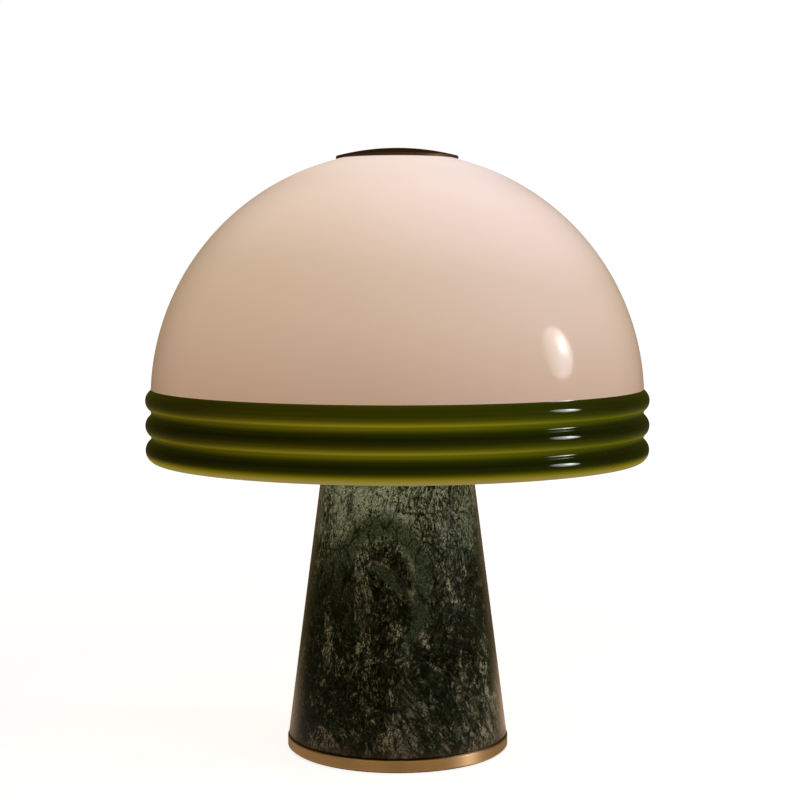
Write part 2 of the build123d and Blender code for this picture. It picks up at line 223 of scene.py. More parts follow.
def make_turning_marks():
    """Node group: fine rings around the lamp's axis, and soft smudges, each 0 to 1."""
    group = bpy.data.node_groups.new("turning_marks", "ShaderNodeTree")
    group.interface.new_socket("Place", in_out="INPUT", socket_type="NodeSocketVector")
    group.interface.new_socket("Rings per metre", in_out="INPUT", socket_type="NodeSocketFloat")
    group.interface.new_socket("Rings", in_out="OUTPUT", socket_type="NodeSocketFloat")
    group.interface.new_socket("Smudges", in_out="OUTPUT", socket_type="NodeSocketFloat")
    source = group.nodes.new("NodeGroupInput").outputs
    result = group.nodes.new("NodeGroupOutput").inputs
    distance, height = from_axis(group, source["Place"])
    across = maths(group, "MULTIPLY", distance, source["Rings per metre"])
    along = maths(group, "MULTIPLY", height, source["Rings per metre"])
    section = node(group, "ShaderNodeCombineXYZ", {0: across, 1: along}).outputs[0]
    group.links.new(noise(group, section, 1, 4, 0.6), result["Rings"])
    group.links.new(noise(group, source["Place"], 28, 4, 0.6, 0.6), result["Smudges"])
    return group


turning_marks = make_turning_marks()
smudge_darkness = 0.45
smudge_spread = 0.08
ring_spread = 0.12


def turned_metal(name, bright, dull, roughness, rings_per_metre=2600.0, depth=0.02 * MM):
    """Satin metal with turning rings and smudges. The rings spread its highlights along the axis."""
    metal, tree, shader, place = finish(name, Metallic=1.0, Anisotropic=0.9, Anisotropic_Rotation=0.25)
    inputs = {"Place": place, "Rings per metre": rings_per_metre}
    marks = node(tree, "ShaderNodeGroup", inputs, node_tree=turning_marks)
    rings = marks.outputs["Rings"]
    smudged = mask(tree, marks.outputs["Smudges"], 0.45, 0.75)
    clean = blend(tree, rings, dull, bright)
    colour = blend(tree, maths(tree, "MULTIPLY", smudged, smudge_darkness), clean, dull)
    feed(tree, shader, Base_Color=colour)
    satin = maths(tree, "MULTIPLY_ADD", rings, ring_spread, roughness - ring_spread / 2)
    feed(tree, shader, Roughness=maths(tree, "MULTIPLY_ADD", smudged, smudge_spread, satin))
    rough_surface(tree, shader, rings, depth)
    return metal, tree, shader, place, colour


brass_bright = (0.96, 0.64, 0.33)
brass_dull = (0.66, 0.42, 0.21)
chamfer_highlight_colour = (0.95, 0.72, 0.50)
brass_satin = 0.50
brass = turned_metal("satin_brass", brass_bright, brass_dull, brass_satin)[0]
paint(brass, "lower_nut", "top_plate", "clamp_nut", "lower_sleeve", "cluster_hub", "upper_sleeve")
paint(brass, "arm_left", "arm_right", "shade_seat", "seat_nut", "cap_bush")
paint(brass, "centre_contact_left", "centre_contact_right")

foot_brass, tree, shader, place, colour = turned_metal("foot_brass", brass_bright, brass_dull, brass_satin)
foot_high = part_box("foot_plate")[1]
chamfer = 0.6 * MM
distance, height = from_axis(tree, place)
# Distance and height add up to the most on the chamfer, so their sum finds it.
edge_start = foot_high.x + foot_high.z - 1.4 * chamfer
edge = mask(tree, maths(tree, "ADD", distance, height), edge_start, edge_start + 0.5 * chamfer)
# The chamfer gets a painted highlight in a lighter brass.
feed(tree, shader, Base_Color=blend(tree, edge, colour, chamfer_highlight_colour))
paint(foot_brass, "foot_plate")


# Threaded tube with its washer, and the two terminal screws: zinc-plated steel stock parts.
# The tube runs from the recess of the foot to the cap and clamps the whole lamp together.

zinc = turned_metal("zinc_plated_steel", (0.62, 0.62, 0.60), (0.42, 0.43, 0.43),
                    roughness=0.38, rings_per_metre=1800)[0]
paint(zinc, "tie_rod", "lower_washer", "terminal_screws")


# Spacer ring: black rubber between the foot and the stone. It is set back, so it shows as a dark line.
# Moulded and matt, with a little dust in its pores.


def moulded(name, dark, light, roughness, grain_scale, depth):
    """Moulded rubber or plastic: a fine grain, and a faint cloudiness in its colour."""
    made, tree, shader, place = finish(name)
    grain = noise(tree, place, grain_scale, 2, 0.6)
    cloud = noise(tree, place, 60, 4, 0.6)
    feed(tree, shader, Base_Color=blend(tree, mask(tree, cloud, 0.3, 0.75), dark, light))
    feed(tree, shader, Roughness=maths(tree, "MULTIPLY_ADD", grain, 0.18, roughness - 0.08))
    rough_surface(tree, shader, grain, depth)
    return made


black_rubber = moulded("black_rubber", (0.008, 0.008, 0.008), (0.022, 0.021, 0.02),
                       roughness=0.7, grain_scale=2200, depth=0.05 * MM)
paint(black_rubber, "spacer_ring")


# Stone cone: one block of dark green marble, turned, bored and honed to a satin polish.
# It is nearly black, with upright pale flecks at its top, and crystal clusters and green blades below.
# Green bands fold through it, and on the front one arches over a leaf-shaped inclusion.


def shifted(tree, place, scale, reach):
    """The place moved about by a soft noise, so that patterns which follow it bend and fold."""
    field = node(tree, "ShaderNodeTexNoise", {"Vector": place, "Scale": scale, "Detail": 2.0})
    inputs = {0: field.outputs["Color"], 1: (0.5, 0.5, 0.5)}
    shift = node(tree, "ShaderNodeVectorMath", inputs, operation="SUBTRACT").outputs[0]
    inputs = {0: shift, 1: (reach, reach, reach), 2: place}
    return node(tree, "ShaderNodeVectorMath", inputs, operation="MULTIPLY_ADD").outputs[0]


def ramp(tree, value, stops):
    """Colours along a value, as (position, colour) stops."""
    made = node(tree, "ShaderNodeValToRGB", {"Fac": value})
    band = made.color_ramp
    while len(band.elements) < len(stops):
        band.elements.new(0.5)
    for element, (position, colour) in zip(band.elements, stops):
        element.position = position
        element.color = (*colour, 1)
    return made.outputs["Color"]


def outside(tree, share):
    """The rest of a mask: 1 where it is 0, and 0 where it is 1."""
    return maths(tree, "SUBTRACT", 1.0, share)


def cracks(tree, place, scale, width):
    """A net of cracks: 1 on a crack, 0 away from it."""
    cells = node(tree, "ShaderNodeTexVoronoi", {"Vector": place, "Scale": scale}, feature="DISTANCE_TO_EDGE")
    return outside(tree, mask(tree, cells.outputs["Distance"], 0.0, width))


def strokes(tree, place, scale, width):
    """Fine flowing lines where a soft noise passes its middle: 1 on a line, 0 away from it."""
    side = maths(tree, "SUBTRACT", noise(tree, place, scale, 3, 0.5), 0.5)
    return outside(tree, mask(tree, maths(tree, "ABSOLUTE", side), 0.0, width))


def drawn_out(tree, place, tilt):
    """The place squeezed along one direction, upright at no tilt, so that patterns are drawn out along it."""
    inputs = {"Vector": place, "Rotation": (0, radians(tilt), 0), "Scale": (1, 1, fleck_stretch)}
    return node(tree, "ShaderNodeMapping", inputs, vector_type="TEXTURE").outputs[0]


def oval(tree, place, middle, half_sizes, tilt):
    """Distance from the middle of an oval on the front, 1 on its edge, and the place within the oval."""
    inputs = {
        "Vector": place,
        "Location": (middle[0] * MM, 0, middle[1] * MM),
        "Rotation": (0, radians(tilt), 0),
        "Scale": (half_sizes[0] * MM, 1, half_sizes[1] * MM),
    }
    within = node(tree, "ShaderNodeMapping", inputs, vector_type="TEXTURE").outputs[0]
    return node(tree, "ShaderNodeVectorMath", {0: within}, operation="LENGTH").outputs["Value"], within


def both(tree, first, second):
    """Where two masks overlap, or one mask at a share of its strength."""
    return maths(tree, "MULTIPLY", first, second)


def either(tree, first, second):
    """Where at least one of two masks is."""
    return maths(tree, "MAXIMUM", first, second)


def between(tree, value, rise, fall):
    """1 between two soft limits, each with a start and an end."""
    return both(tree, mask(tree, value, *rise), outside(tree, mask(tree, value, *fall)))


def mix_values(tree, share, first, second):
    """The first value at no share, the second at a share of 1."""
    return maths(tree, "MULTIPLY_ADD", share, maths(tree, "SUBTRACT", second, first), first)


def up_and_across(tree, place):
    """Height, and distance to the right as the front is seen."""
    apart = node(tree, "ShaderNodeSeparateXYZ", {0: place}).outputs
    return apart["Z"], apart["X"]


def glance(tree, spread=0.5):
    """0 where the surface faces the viewer, rising to 1 at its outline."""
    return node(tree, "ShaderNodeLayerWeight", {"Blend": spread}).outputs["Facing"]


def add_up(tree, middle, *patterns):
    """Patterns added up by their weights, each about its middle of 0.5."""
    total = middle - sum(weight for pattern, weight in patterns) / 2
    for pattern, weight in patterns:
        total = maths(tree, "MULTIPLY_ADD", pattern, weight, total)
    return total


def tinted(tree, colour, tint):
    """A colour multiplied by another."""
    inputs = {0: 1.0, 6: colour, 7: tint}
    return node(tree, "ShaderNodeMix", inputs, data_type="RGBA", blend_type="MULTIPLY").outputs[2]


slant = -38
fleck_stretch = 2.3
flecks_per_metre = 640
slanted_flecks_per_metre = 420
tufts_per_metre = 170
clusters_per_metre = 40
crystals_per_metre = 180
hairs_per_metre = 190
steep_blades_per_metre = 40
slanted_blades_per_metre = 46
bands_per_metre = 14
rust_spots_per_metre = 60
veins_per_metre = 24
cracks_per_metre = 56
grains_per_metre = 1150

marble, tree, shader, place = finish("green_marble", Specular_IOR_Level=0.15)
height, sideways = up_and_across(tree, place)
lamp_lit_top = mask(tree, height, 105 * MM, 215 * MM)
foot_reflection_zone = outside(tree, mask(tree, height, 10 * MM, 85 * MM))
low = outside(tree, mask(tree, height, 80 * MM, 130 * MM))
low_right = both(tree, mask(tree, sideways, -10 * MM, 20 * MM), low)
folded = shifted(tree, place, 11, 90 * MM)
swirled = shifted(tree, place, 22, 22 * MM)
upright = drawn_out(tree, swirled, 0)
leaning = drawn_out(tree, swirled, slant)
crumpled = shifted(tree, upright, 130, 7 * MM)
slanted = shifted(tree, leaning, 130, 7 * MM)
lumpy = shifted(tree, place, 90, 12 * MM)

upright_flecks = noise(tree, crumpled, flecks_per_metre, 3, 0.7)
slanted_flecks = noise(tree, slanted, slanted_flecks_per_metre, 3, 0.7)
flecks = mask(tree, mix_values(tree, low_right, upright_flecks, slanted_flecks), 0.34, 0.66)
tufts = mask(tree, noise(tree, lumpy, tufts_per_metre, 3, 0.6), 0.32, 0.68)
clusters = mask(tree, noise(tree, crumpled, clusters_per_metre, 2, 0.5), 0.34, 0.66)
crystals = node(tree, "ShaderNodeTexVoronoi", {"Vector": lumpy, "Scale": crystals_per_metre})
crystal_tone = node(tree, "ShaderNodeSeparateColor", {0: crystals.outputs["Color"]}).outputs[0]
crystal_net = cracks(tree, lumpy, crystals_per_metre, 0.14)
hairs = strokes(tree, crumpled, hairs_per_metre, 0.04)
steep_blades = strokes(tree, shifted(tree, upright, 30, 30 * MM), steep_blades_per_metre, 0.05)
slanted_blades = strokes(tree, shifted(tree, leaning, 30, 20 * MM), slanted_blades_per_metre, 0.05)
blades = both(tree, either(tree, steep_blades, slanted_blades), outside(tree, lamp_lit_top))

# The top is painted lighter and a little cooler: painted light from the bulbs above it.
top_light = add_up(tree, 0.89, (flecks, 0.66), (tufts, 0.16), (clusters, 0.34), (hairs, -0.12))
# Near the foot the stone is painted lighter and warmer, a painted reflection of the brass foot.
low_light = add_up(tree, 0.575, (flecks, 0.66), (tufts, 0.20), (clusters, 0.52), (crystal_tone, 0.34),
                   (hairs, -0.24), (crystal_net, -0.16), (foot_reflection_zone, 0.16))
stone = ramp(tree, mix_values(tree, lamp_lit_top, low_light, top_light), [
    (0.15, (0.0018, 0.0024, 0.0008)),
    (0.40, (0.0068, 0.0086, 0.0036)),
    (0.60, (0.022, 0.026, 0.015)),
    (0.80, (0.070, 0.086, 0.067)),
    (1.0, (0.255, 0.308, 0.272)),
])
pale_warmth = blend(tree, foot_reflection_zone, (1.18, 1.0, 0.80), (1.36, 1.0, 0.82))
low_warmth = blend(tree, mask(tree, low_light, 0.5, 1.0), (1.06, 1.0, 0.74), pale_warmth)
stone = tinted(tree, stone, blend(tree, lamp_lit_top, low_warmth, (0.94, 1.0, 1.0)))

arch_place = shifted(tree, place, 24, 20 * MM)
arch, within_arch = oval(tree, arch_place, middle=(-17, 133), half_sizes=(38, 62), tilt=8)
arch_up, arch_across = up_and_across(tree, within_arch)
arch_reach = maths(tree, "MULTIPLY_ADD", arch_across, 0.5, arch_up)
arch_band = both(tree, between(tree, arch, (0.72, 0.84), (0.98, 1.14)), mask(tree, arch_reach, -0.6, 0.0))
arch_rim = both(tree, between(tree, arch, (0.68, 0.74), (0.74, 0.82)), mask(tree, arch_across, 0.35, 0.6))
arch_rim = both(tree, arch_rim, both(tree, mask(tree, arch_up, -0.2, 0.1), 0.7))
leaf_place = shifted(tree, place, 40, 7 * MM)
leaf, within_leaf = oval(tree, leaf_place, middle=(-5, 146), half_sizes=(19, 5.5), tilt=42)
leaf_body = outside(tree, mask(tree, leaf, 0.75, 1.05))
leaf_up = up_and_across(tree, within_leaf)[0]
leaf_rim = both(tree, between(tree, leaf, (0.75, 0.95), (1.0, 1.25)), mask(tree, leaf_up, 0.0, 0.5))
hollow_place = shifted(tree, place, 40, 10 * MM)
hollow = oval(tree, hollow_place, middle=(3, 153), half_sizes=(9, 18), tilt=-25)[0]
hollow_body = outside(tree, mask(tree, hollow, 0.6, 1.1))

bands = both(tree, mask(tree, noise(tree, folded, bands_per_metre, 3, 0.5, 0.6), 0.50, 0.60), 0.5)
band_green = blend(tree, flecks, (0.013, 0.021, 0.009), (0.046, 0.062, 0.034))
stone = blend(tree, bands, stone, band_green)
blade_green = blend(tree, flecks, (0.0065, 0.0105, 0.0035), (0.020, 0.030, 0.012))
stone = blend(tree, both(tree, blades, 0.85), stone, blade_green)
smooth_green = blend(tree, flecks, (0.026, 0.044, 0.023), (0.056, 0.080, 0.048))
stone = blend(tree, either(tree, both(tree, arch_band, 0.9), leaf_body), stone, smooth_green)
rust = both(tree, mask(tree, noise(tree, crumpled, rust_spots_per_metre, 3, 0.6), 0.62, 0.72), 0.35)
rust_brown = (0.045, 0.026, 0.014)
stone = blend(tree, rust, stone, rust_brown)
vein_net = cracks(tree, shifted(tree, place, 34, 16 * MM), veins_per_metre, 0.022)
rims = both(tree, either(tree, leaf_rim, arch_rim), 0.75)
veins = either(tree, both(tree, vein_net, both(tree, tufts, 0.4)), rims)
vein_cream = (0.17, 0.17, 0.125)
stone = blend(tree, veins, stone, vein_cream)
wide_cracks = both(tree, cracks(tree, shifted(tree, crumpled, 60, 20 * MM), cracks_per_metre, 0.06), 0.75)
crack_black = (0.003, 0.0035, 0.0015)
stone = blend(tree, either(tree, wide_cracks, both(tree, hollow_body, 0.8)), stone, crack_black)
grain = mask(tree, noise(tree, lumpy, grains_per_metre, 2, 0.7), 0.38, 0.62)
stone = tinted(tree, stone, blend(tree, grain, (0.28, 0.28, 0.28), (1.82, 1.82, 1.82)))
# A painted sheen along the outline, strongest near the foot.
painted_edge_sheen = blend(tree, mask(tree, height, 15 * MM, 95 * MM), (0.86, 0.61, 0.42), (0.19, 0.145, 0.095))
stone = blend(tree, both(tree, mask(tree, glance(tree), 0.53, 1.0), 0.85), stone, painted_edge_sheen)
# A painted reflection of the brass foot: a lighter brown band along the stone's bottom edge.
brass_reflection_height = 12 * MM
reflected_brass_brown = (0.062, 0.042, 0.021)
brass_reflection_edge = outside(tree, mask(tree, height, foot_high.z, foot_high.z + brass_reflection_height))
feed(tree, shader, Base_Color=blend(tree, both(tree, brass_reflection_edge, 0.6), stone, reflected_brass_brown))
feed(tree, shader, Roughness=maths(tree, "MULTIPLY_ADD", tufts, 0.12, 0.24))
net_depth = 0.03 * MM
rough_surface(tree, shader, crystal_net, -net_depth)
paint(marble, "stone_cone")


# Cord gland, terminal block and leads: the wiring at the back of the stone and inside the stem.
# Black and white moulded plastic, and soft insulated wire.

black_plastic = moulded("black_plastic", (0.010, 0.010, 0.0095), (0.022, 0.021, 0.02),
                        roughness=0.38, grain_scale=1600, depth=0.03 * MM)
white_plastic = moulded("white_plastic", (0.62, 0.61, 0.57), (0.70, 0.69, 0.66),
                        roughness=0.45, grain_scale=1600, depth=0.03 * MM)
wire_sleeve = moulded("wire_sleeve", (0.45, 0.40, 0.33), (0.58, 0.53, 0.45),
                      roughness=0.5, grain_scale=900, depth=0.05 * MM)
paint(black_plastic, "cord_gland")
paint(white_plastic, "terminal_block")
paint(wire_sleeve, "lead_left", "lead_right")


# Lampholders: a black moulded back and shell round a ceramic cup, with a nickel-plated screw shell.
# One sits on each brass arm, tilted up and out. The tip contacts of the bulbs have the same plating.

ceramic = moulded("unglazed_ceramic", (0.62, 0.59, 0.53), (0.74, 0.72, 0.67),
                  roughness=0.6, grain_scale=1200, depth=0.06 * MM)
nickel = turned_metal("nickel_plate", (0.66, 0.63, 0.58), (0.48, 0.45, 0.41),
                      roughness=0.32, rings_per_metre=1500, depth=0.003 * MM)[0]
for side in ("left", "right"):
    paint(black_plastic, f"holder_back_{side}", f"holder_shell_{side}")
    paint(ceramic, f"holder_insulator_{side}")
    paint(nickel, f"screw_shell_{side}", f"bulb_tip_{side}")


# Bulb bases: thin nickel-plated shells with a rolled screw thread, which ends in a plain collar at the glass.
# The shell tapers to the tip contact, and it is crimped round the neck of the bulb.

thread_pitch = 3.629 * MM
thread_depth = 1.0 * MM
thread_turns = 3
taper_height = 3.0 * MM
collar_height = 3.0 * MM
collar_slope = 0.5 * MM
thread_overlap = 0.05 * MM
thread_steps = 64
wave_steps = 12
tip_radius = 4.6 * MM
bulb_tilt = radians(45)
hub_low, hub_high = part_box("cluster_hub")
hub = (hub_low + hub_high) / 2


def screw_thread(name, root, crest, start):
    """A rolled thread: one rounded wave, carried up and round the axis, closed at both ends."""
    shares = [number / wave_steps for number in range(wave_steps + 1)]
    wave = [(root + (crest - root) * sin(pi * share) ** 2, start + thread_pitch * share) for share in shares]
    piece = draw(name, wave)
    bpy.ops.object.mode_set(mode="OBJECT")
    bpy.ops.object.modifier_add(type="SCREW")
    screw = piece.modifiers[0]
    screw.screw_offset = thread_pitch
    screw.iterations = thread_turns
    screw.steps = thread_steps
    screw.render_steps = thread_steps
    bpy.ops.object.modifier_apply(modifier=screw.name)
    bpy.ops.object.mode_set(mode="EDIT")
    weld()
    bpy.ops.mesh.fill_holes(sides=0)
    face_outwards()
    return piece


for side, direction in (("left", -1), ("right", 1)):
    axis = Vector((direction * sin(bulb_tilt), 0, cos(bulb_tilt)))
    points = [point.co - hub for point in cad[f"bulb_base_{side}"].data.vertices]
    crest = max((point - axis * point.dot(axis)).length for point in points)
    start = min(point.dot(axis) for point in points)
    end = max(point.dot(axis) for point in points)
    root = crest - thread_depth
    core = root + thread_overlap
    collar_start = end - collar_height
    base_outline = [(0, start), (tip_radius, start), (core, start + taper_height), (core, collar_start)]
    base_outline += [(crest, collar_start + collar_slope), (crest, end), (0, end)]
    base = turn(f"screw_base_{side}", base_outline, steps=thread_steps)
    thread = screw_thread(f"screw_thread_{side}", root, crest, start + taper_height)
    bpy.ops.object.select_all(action="DESELECT")
    thread.select_set(True)
    base.select_set(True)
    bpy.context.view_layer.objects.active = base
    bpy.ops.object.join()
    base.rotation_euler = (0, direction * bulb_tilt, 0)
    base.location = hub
    bpy.ops.object.transform_apply(location=True, rotation=True, scale=True)
    wear(base, nickel)
    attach(base, f"bulb_{side}")
    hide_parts(f"bulb_base_{side}")


# Bulbs: blown globes of frosted white glass, held in their screw bases, and both are lit.
# The globe glows, warmer and dimmer towards its outline.

lit_bulb, tree, shader, place = finish("lit_frosted_glass", Roughness=0.55, Emission_Strength=1.0)
frost = noise(tree, place, 700, 3)
feed(tree, shader, Base_Color=blend(tree, frost, (0.22, 0.208, 0.184), (0.26, 0.248, 0.223)))
glow = blend(tree, glance(tree, spread=0.4), (0.74, 0.56, 0.33), (0.46, 0.26, 0.10))
feed(tree, shader, Emission_Color=glow)
frost_depth = 0.03 * MM
rough_surface(tree, shader, frost, frost_depth)
paint(lit_bulb, "bulb_glass_left", "bulb_glass_right")


# Seat gasket and cap washer: moulded rings of milky silicone that keep the glass off the metal.
# The gasket lies on the seat with its lip in the hole of the dome, the washer lies under the cap.

silicone = moulded("clear_silicone", (0.52, 0.50, 0.46), (0.62, 0.60, 0.56),
                   roughness=0.42, grain_scale=1300, depth=0.03 * MM)
paint(silicone, "seat_gasket", "cap_washer")


# Opal dome: blown opal glass, cream white and glossy, with a small flare at its edge where it meets the band.
# Its glow is painted, standing in for the bulbs' light through the glass: brightest round the crown, warmer
# and dimmer towards its edge, with painted shade at glancing angles. Its inner face has a painted glow,
# brightest beside the two bulbs.

dome_low, dome_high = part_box("opal_dome")
dome_radius = 195.5 * MM
dome_wall = 4.0 * MM
dome_flare = 0.8 * MM
groove_round = 3.5 * MM
inner_radius = dome_radius - dome_wall
crown_hole = nearest("opal_dome")
colour_line = dome_low.z
flare_top = colour_line + dome_flare
dome_middle = dome_high.z - sqrt(dome_radius**2 - crown_hole**2)
groove_radius = sqrt(dome_radius**2 - (flare_top - dome_middle) ** 2)
flare_angle = degrees(asin(dome_flare / groove_round))
middle = (0.0, dome_middle)
crown_angle = degrees(acos(crown_hole / dome_radius))
flare_start = degrees(acos(groove_radius / dome_radius))
inner_crown_angle = degrees(acos(crown_hole / inner_radius))
inner_edge_angle = degrees(asin((colour_line - dome_middle) / inner_radius))
dome_outline = arc(middle, inner_radius, inner_edge_angle, inner_crown_angle, 40)
dome_outline += arc(middle, dome_radius, crown_angle, flare_start, 60)
dome_outline += arc((groove_radius + groove_round, flare_top), groove_round, 180, 180 + flare_angle, 4)
dome = turn("dome_shell", dome_outline, steps=200)

glass = {"Roughness": 0.07, "Specular_IOR_Level": 0.2}
opal, tree, shader, place = finish("opal_glass", Emission_Strength=1.0, **glass)
cloud = noise(tree, place, 9, 3, 0.5, 0.4)
feed(tree, shader, Base_Color=blend(tree, cloud, (0.48, 0.405, 0.34), (0.52, 0.445, 0.38)))
height, sideways = up_and_across(tree, place)
inputs = {"Value": height, "From Min": colour_line, "From Max": dome_high.z}
rise = node(tree, "ShaderNodeMapRange", inputs).outputs["Result"]
# The painted glow is a little stronger on the right, most of all near the crown: painted side light.
side_light_lean = both(tree, maths(tree, "SUBTRACT", sideways, 50 * MM), rise)
drift = maths(tree, "MULTIPLY_ADD", side_light_lean, 0.9, maths(tree, "MULTIPLY_ADD", cloud, 0.04, rise))
glow = ramp(tree, drift, [
    (0.02, (0.35, 0.22, 0.14)),
    (0.30, (0.43, 0.30, 0.205)),
    (0.50, (0.46, 0.34, 0.247)),
    (0.78, (0.62, 0.49, 0.43)),
    (0.90, (0.67, 0.56, 0.515)),
    (0.97, (0.70, 0.60, 0.555)),
])
# Painted side light: the right side is painted cooler and the left side warmer.
left_painted_tint = blend(tree, mask(tree, rise, 0.05, 0.65), (1.03, 1.01, 1.02), (0.985, 0.955, 0.89))
right_painted_tint = blend(tree, mask(tree, rise, 0.3, 0.8), (0.97, 0.975, 1.12), (0.965, 0.95, 1.07))
tint = blend(tree, mask(tree, sideways, -100 * MM, 120 * MM), left_painted_tint, right_painted_tint)
# Painted shade at glancing angles, except round the crown.
glancing = both(tree, mask(tree, glance(tree), 0.5, 1.0), outside(tree, mask(tree, rise, 0.82, 0.95)))
painted_shading = blend(tree, glancing, tint, (0.70, 0.65, 0.63))
feed(tree, shader, Emission_Color=tinted(tree, glow, painted_shading))
wear(dome, opal)

# The inner face has a painted glow, brightest beside the bulbs.
opal_inside, tree, shader, place = finish("opal_glass_inside", Roughness=0.12, Emission_Strength=1.0)
feed(tree, shader, Base_Color=blend(tree, noise(tree, place, 9, 3), (0.34, 0.30, 0.25), (0.38, 0.33, 0.28)))
mirrored = node(tree, "ShaderNodeVectorMath", {0: place}, operation="ABSOLUTE").outputs[0]
bulb_low, bulb_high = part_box("bulb_glass_right")
bulb_middle = (bulb_low + bulb_high) / 2
away = node(tree, "ShaderNodeVectorMath", {0: mirrored, 1: bulb_middle}, operation="DISTANCE")
glow = ramp(tree, away.outputs["Value"], [
    (0.05, (0.82, 0.66, 0.45)),
    (0.13, (0.66, 0.49, 0.31)),
    (0.26, (0.46, 0.31, 0.18)),
])
feed(tree, shader, Emission_Color=glow)
wear(dome, opal_inside)
inner_limit = dome_radius - dome_wall / 2
for face in dome.data.polygons:
    if (face.center - Vector((0, 0, dome_middle))).length < inner_limit:
        face.material_index = 1
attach(dome, "shade")
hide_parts("opal_dome")


# Ribbed band: pressed dark olive glass with three rounded ribs and a rounded rim. Its collar stands inside
# the dome. A painted glow stands for the bulbs' light at the underside of each rib and at the rim.

band_low, band_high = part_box("ribbed_band")
rib_count = 3
rib_pitch = 19.5 * MM
rib_depth = 4.5 * MM
rim_round = 2.5 * MM
collar_wall = 2.5 * MM
rim = band_low.z
band_inner = nearest("ribbed_band")
collar_radius = band_inner + collar_wall
rib_flank = degrees(2 * atan(2 * rib_depth / rib_pitch))
rib_round = rib_pitch / 2 / sin(radians(rib_flank)) - groove_round
rib_centre = groove_radius + rib_depth - rib_round
groove_centre = groove_radius + groove_round
last_rib = flare_top - (rib_count - 0.5) * rib_pitch
rim_angle = degrees(asin((last_rib - rim - rim_round) / (rib_round - rim_round)))
rim_centre = rib_centre + (rib_round - rim_round) * cos(radians(rim_angle))

band_outline = [(band_inner, band_high.z), (collar_radius, band_high.z), (collar_radius, colour_line)]
for number in range(rib_count):
    groove_height = flare_top - number * rib_pitch
    groove_start = flare_angle if number == 0 else -rib_flank
    rib_end = rim_angle if number == rib_count - 1 else rib_flank
    band_outline += arc((groove_centre, groove_height), groove_round, 180 + groove_start, 180 + rib_flank, 10)
    band_outline += arc((rib_centre, groove_height - rib_pitch / 2), rib_round, rib_flank, -rib_end, 16)
band_outline += arc((rim_centre, rim + rim_round), rim_round, -rim_angle, -90, 6)
band_outline += arc((band_inner + rim_round, rim + rim_round), rim_round, -90, -180, 8)
band = turn("green_band", band_outline, steps=240)

glass = {"Roughness": 0.05, "Specular_IOR_Level": 0.35}
green_glass, tree, shader, place = finish("olive_glass", Emission_Strength=1.0, **glass)
height, sideways = up_and_across(tree, place)
ribs_down = maths(tree, "DIVIDE", maths(tree, "SUBTRACT", flare_top, height), rib_pitch)
swirl = noise(tree, place, 14, 3, 0.5, 0.5)
feed(tree, shader, Base_Color=blend(tree, swirl, (0.008, 0.010, 0.001), (0.014, 0.017, 0.0015)))
# Painted glow and shade on each rib: the underside painted bright, the upper flank dark.
rib_glow = ramp(tree, maths(tree, "FRACT", ribs_down), [
    (0.0, (0.034, 0.035, 0.0003)),
    (0.10, (0.010, 0.012, 0.0002)),
    (0.27, (0.002, 0.003, 0.0001)),
    (0.45, (0.010, 0.010, 0.0002)),
    (0.60, (0.036, 0.033, 0.0004)),
    (0.70, (0.095, 0.078, 0.0010)),
    (0.80, (0.210, 0.172, 0.0008)),
    (0.91, (0.082, 0.072, 0.0010)),
    (0.98, (0.045, 0.043, 0.0004)),
])
first_rib = outside(tree, mask(tree, ribs_down, 0.3, 0.7))
glow = blend(tree, both(tree, first_rib, 0.07), rib_glow, (0.21, 0.20, 0.002))
# Painted shade at glancing angles, and painted side light that turns the right side greener.
painted_shading = blend(tree, mask(tree, glance(tree), 0.05, 0.6), (1.12, 1.12, 1.12), (0.52, 0.52, 0.52))
side_light_green = blend(tree, mask(tree, sideways, -100 * MM, 180 * MM), (1.06, 1.0, 1.0), (0.90, 1.12, 0.8))
glow = tinted(tree, glow, side_light_green)
# The rim has a painted glow.
rim_share = mask(tree, ribs_down, 2.50, 2.80)
rim_glow = blend(tree, mask(tree, ribs_down, 2.66, 2.84), (0.22, 0.168, 0.0005), (0.25, 0.185, 0.042))
glow = blend(tree, rim_share, tinted(tree, glow, painted_shading), rim_glow)
feed(tree, shader, Emission_Color=glow)
wear(band, green_glass)

# The inner face has a painted glow.
green_inside, tree, shader, place = finish("olive_glass_inside", Roughness=0.1, Emission_Strength=1.0)
swirl = noise(tree, place, 14, 3, 0.5, 0.5)
feed(tree, shader, Base_Color=blend(tree, swirl, (0.04, 0.042, 0.004), (0.06, 0.06, 0.006)))
feed(tree, shader, Emission_Color=blend(tree, swirl, (0.20, 0.17, 0.012), (0.26, 0.22, 0.02)))
wear(band, green_inside)
inside_margin = 0.5 * MM
for face in band.data.polygons:
    if Vector(face.center[:2]).length < collar_radius + inside_margin:
        face.material_index = 1
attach(band, "shade")
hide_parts("ribbed_band")


# Cap: a crowned bronze disc, turned and darkened with a brown patina, with a painted highlight along its
# edge.
# It screws down on the tube and holds the shade.

gloss = {"Specular_IOR_Level": 0.05, "Specular_Tint": (0.6, 0.36, 0.14, 1)}
bronze, tree, shader, place = finish("dark_bronze", Metallic=0.6, **gloss)
marks = node(tree, "ShaderNodeGroup", {"Place": place, "Rings per metre": 1400.0}, node_tree=turning_marks)
cap_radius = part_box("top_cap")[1].x
